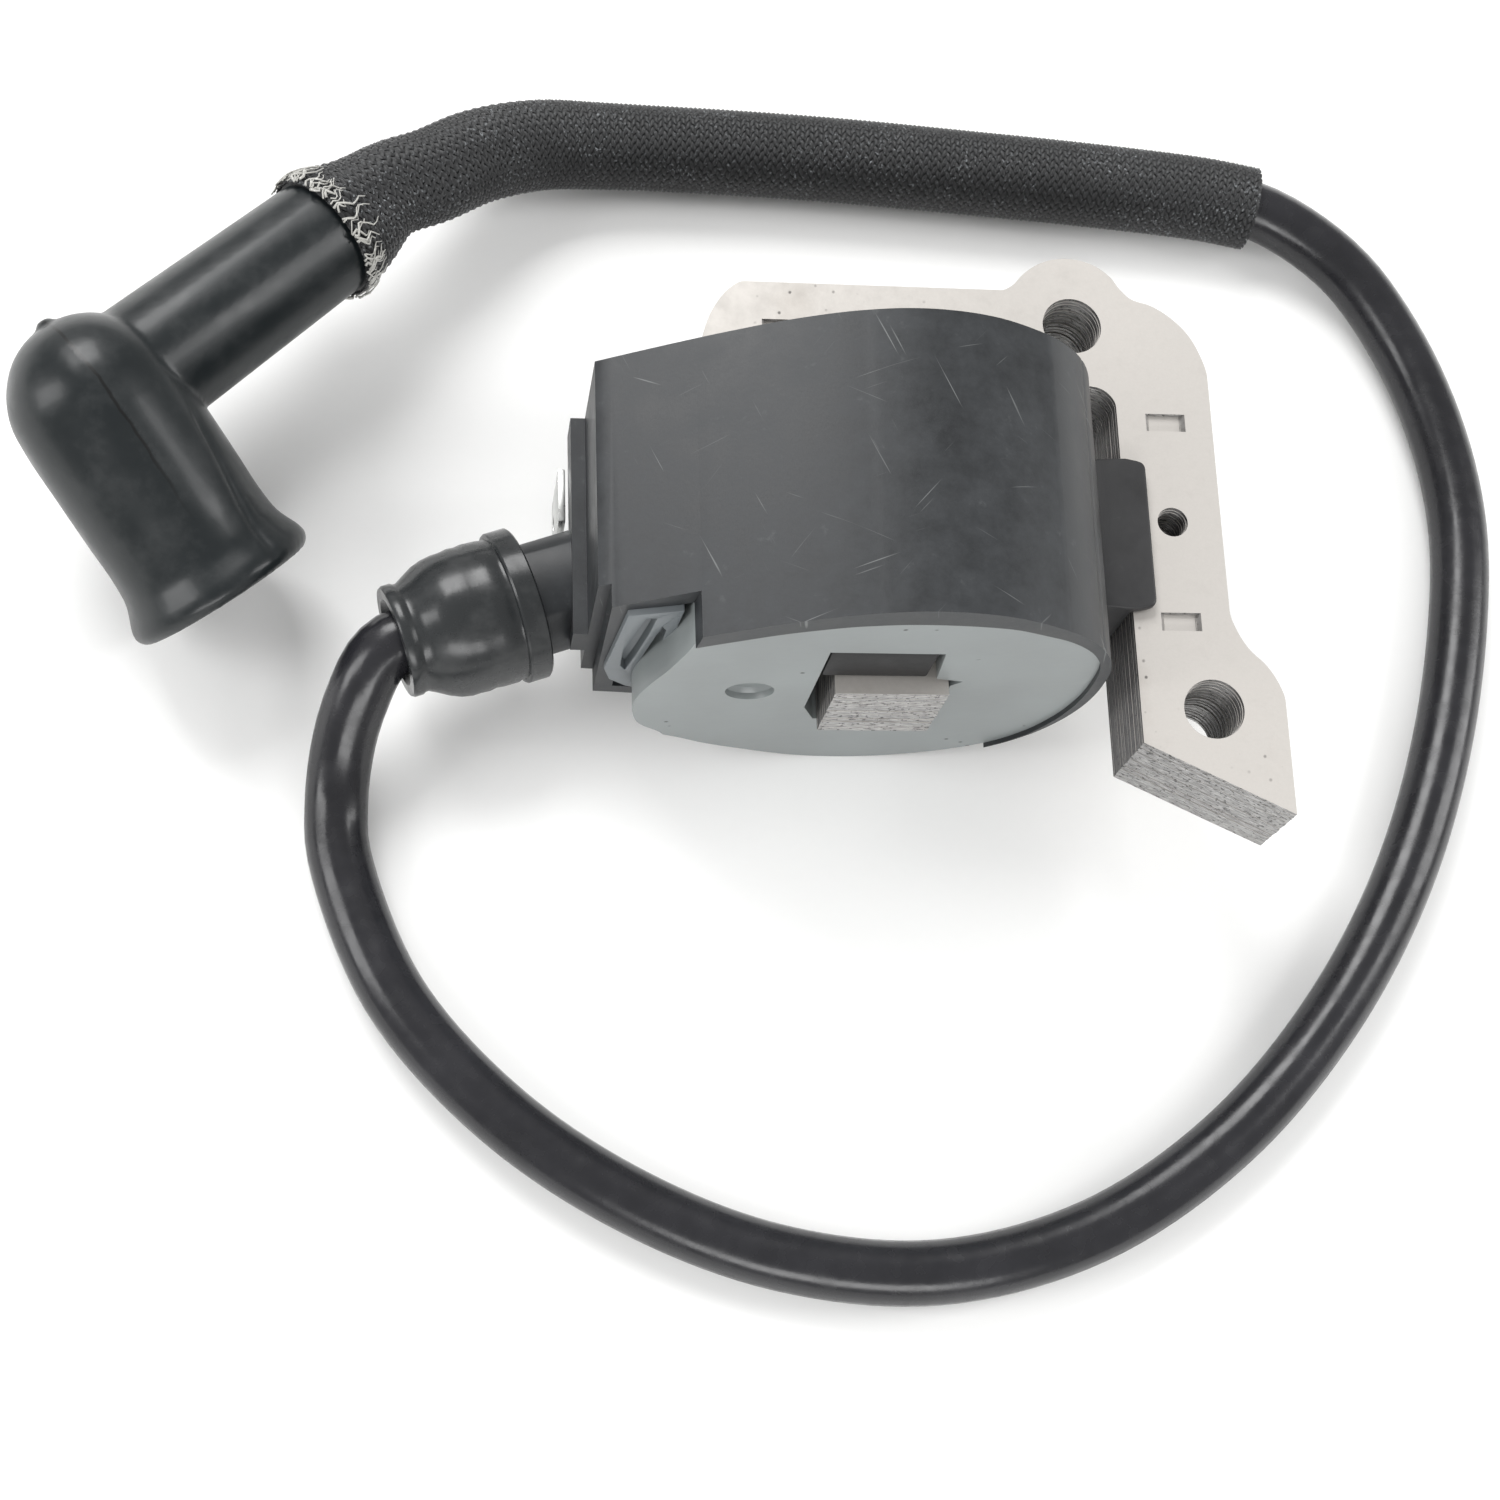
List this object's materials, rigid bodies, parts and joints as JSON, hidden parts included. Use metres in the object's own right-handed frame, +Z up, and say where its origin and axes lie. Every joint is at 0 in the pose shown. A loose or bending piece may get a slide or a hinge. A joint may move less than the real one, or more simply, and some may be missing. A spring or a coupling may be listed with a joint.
{
  "type": "ignition coil",
  "caption": "Small engine ignition coil: a laminated core carries a potted coil body, and a sleeved high tension lead runs from it to a rubber spark plug boot",
  "frame": {"origin": "middle of the coil without its lead, sleeve and boot, at the height of its lowest point, which is the belly of the coil body", "axes": "+Z is up and is the way both mounting holes run, square to the laminations; -Y is the side the pole and foot point to, where the flywheel runs; the spark lead leaves the body toward -X"},
  "size_m": [0.1731, 0.1437, 0.0487],
  "materials": {
    "steel": "bare rolled silicon steel",
    "housing": "satin moulded nylon",
    "resin": "cast epoxy",
    "dark_plastic": "satin moulded plastic",
    "bobbin": "moulded plastic",
    "copper": "enamelled copper wire",
    "board": "solder mask",
    "chip": "moulded epoxy",
    "ceramic": "glazed",
    "brass": "drawn",
    "tinned": "tinned",
    "rubber": "semi-gloss",
    "lead_jacket": "glossy",
    "braid": "braided"
  },
  "bodies": {
    "root": {"core_lamination_1": "steel", "core_lamination_2": "steel", "core_lamination_3": "steel", "core_lamination_4": "steel", "core_lamination_5": "steel", "core_lamination_6": "steel", "core_lamination_7": "steel", "core_lamination_8": "steel", "coil_housing": "housing", "potting_resin_face": "resin", "terminal_block": "resin", "core_wedge": "dark_plastic", "core_retaining_clip": "dark_plastic", "primary_bobbin": "bobbin", "secondary_bobbin": "bobbin", "primary_winding": "copper", "secondary_winding_1": "copper", "secondary_winding_2": "copper", "secondary_winding_3": "copper", "secondary_winding_4": "copper", "secondary_winding_5": "copper", "circuit_board": "board", "switching_transistor": "chip", "trigger_chip": "chip", "timing_capacitor": "ceramic", "bias_resistor": "ceramic", "high_tension_pin": "brass", "stop_switch_terminal": "tinned", "ground_strap": "tinned", "boot_terminal": "tinned", "lead_cap": "rubber", "plug_boot": "rubber", "spark_lead": "lead_jacket", "braided_sleeve": "braid", "sleeve_frayed_end": "braid"}
  },
  "joints": []
}
